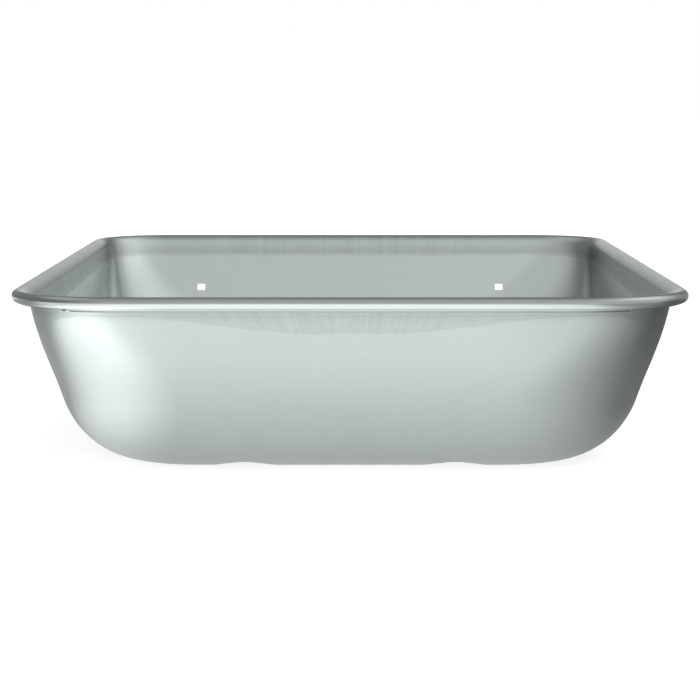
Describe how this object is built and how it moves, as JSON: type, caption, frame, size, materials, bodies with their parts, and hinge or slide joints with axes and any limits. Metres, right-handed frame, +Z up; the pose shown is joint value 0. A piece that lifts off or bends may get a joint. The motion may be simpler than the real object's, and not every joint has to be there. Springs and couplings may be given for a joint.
{
  "type": "wheelbarrow tray",
  "caption": "Deep-drawn galvanised steel tray for a wheelbarrow: a wired, rolled rim, sloping walls, channels underneath for the frame tubes and square bolt holes.",
  "frame": {"origin": "middle of the tray's underside, halfway along and across it, on the surface that the tray stands on", "axes": "+Y towards the front (the wheel end, with the bolt holes high in its wall), +X to the tray's right, +Z up"},
  "size_m": [0.6458, 0.845, 0.178],
  "materials": {
    "galvanised_sheet": "bright galvanised, pressed, satin with soft reflections and faint draw marks",
    "galvanised_wire": "galvanised, satin"
  },
  "bodies": {
    "root": {"tray_pan": "galvanised_sheet", "rim_wire": "galvanised_wire"}
  },
  "joints": []
}
